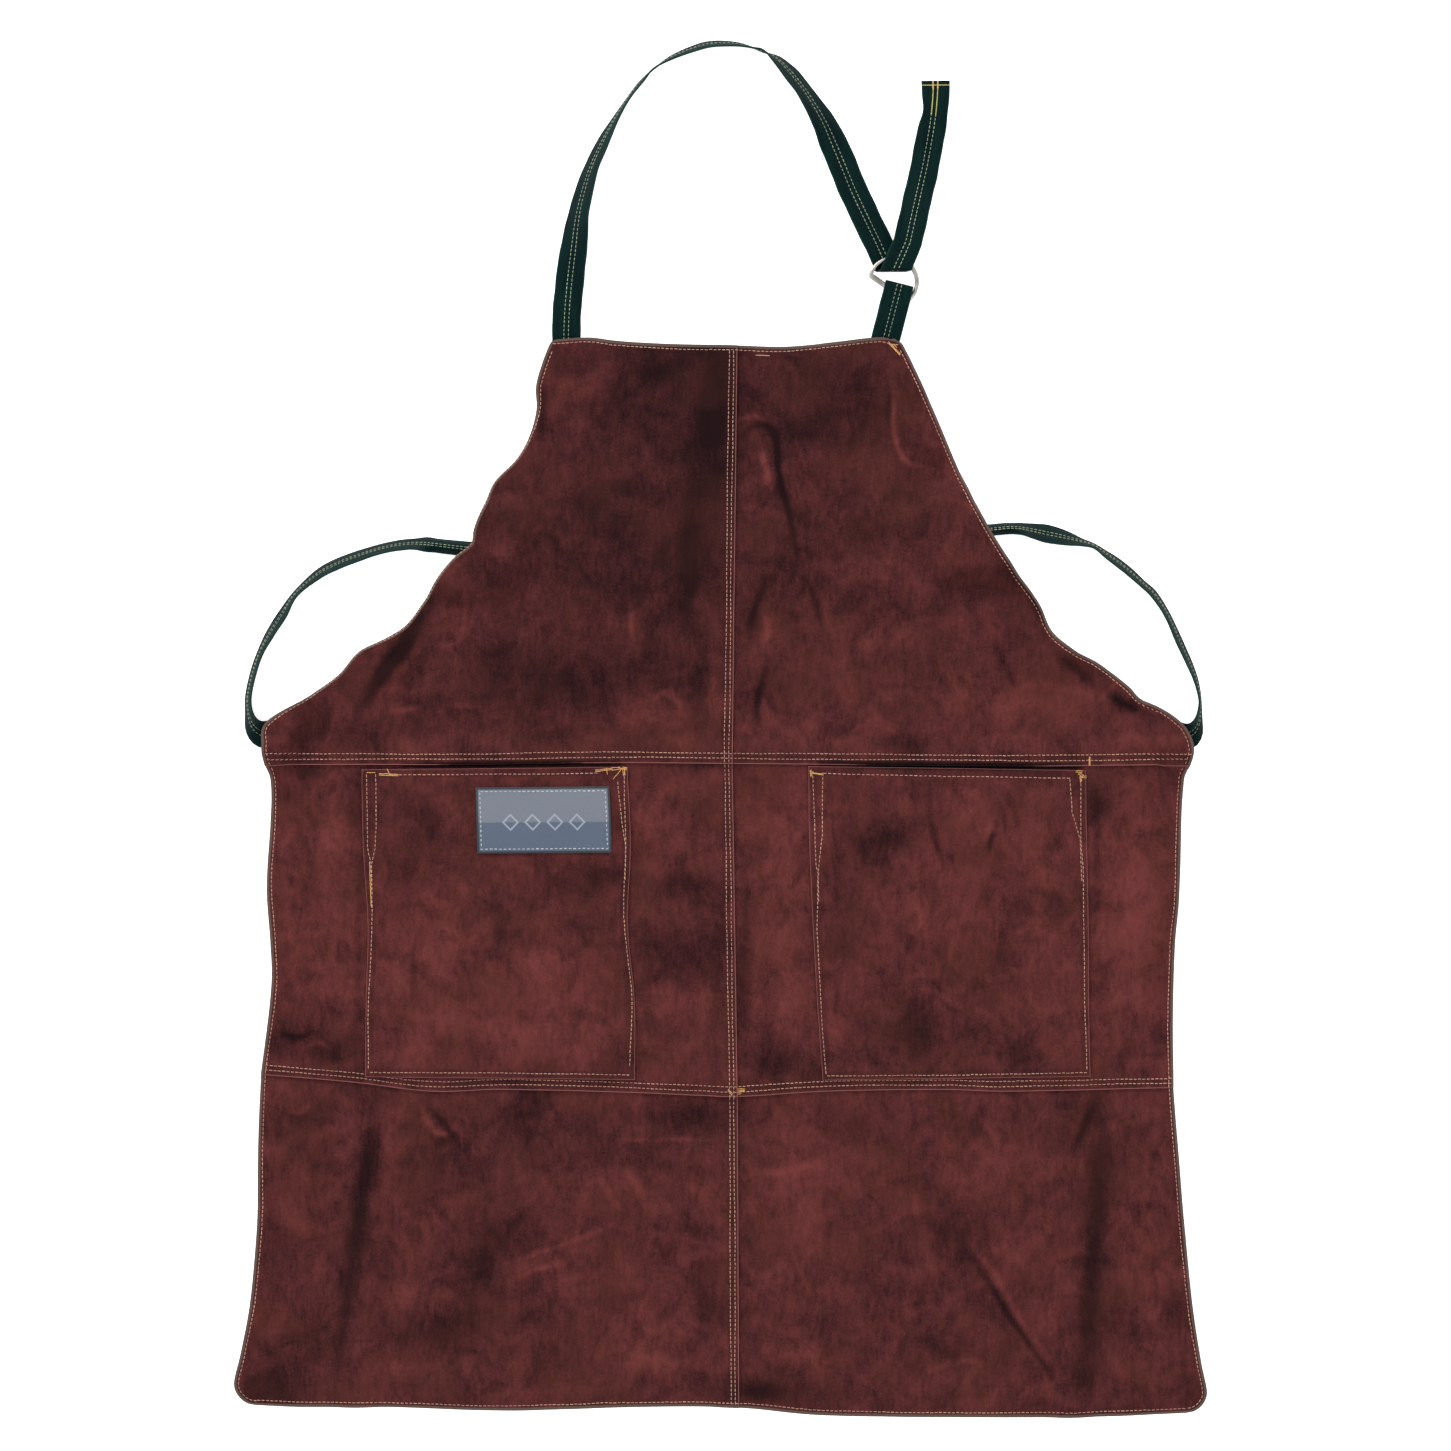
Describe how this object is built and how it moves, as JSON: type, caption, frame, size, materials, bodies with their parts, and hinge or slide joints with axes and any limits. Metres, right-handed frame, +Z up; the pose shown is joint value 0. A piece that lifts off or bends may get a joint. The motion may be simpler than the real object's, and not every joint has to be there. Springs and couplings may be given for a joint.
{
  "type": "leather bib apron",
  "caption": "Suede bib apron lying flat, with lapped panels, patch pockets, a cloth label, an adjustable neck strap with metal rings, and waist ties.",
  "frame": {"origin": "on the floor under the middle of the apron's outline as it lies", "axes": "+X across the apron to the viewer's right, +Y from the hem to the neck, +Z up from the floor"},
  "size_m": [0.6942, 0.983, 0.0206],
  "materials": {
    "suede": "napped suede, burgundy",
    "cotton": "dark green webbing",
    "label": "grey-blue woven cloth",
    "ring_metal": "satin nickel"
  },
  "bodies": {
    "root": {"bib_left": "suede", "bib_right": "suede", "waist_left": "suede", "waist_right": "suede", "skirt_left": "suede", "skirt_right": "suede", "pocket_left": "suede", "pocket_right": "suede", "label_patch": "label", "neck_strap": "cotton", "ring_strap": "cotton", "waist_tie_left": "cotton", "waist_tie_right": "cotton", "ring_lower": "ring_metal", "ring_upper": "ring_metal"}
  },
  "joints": []
}
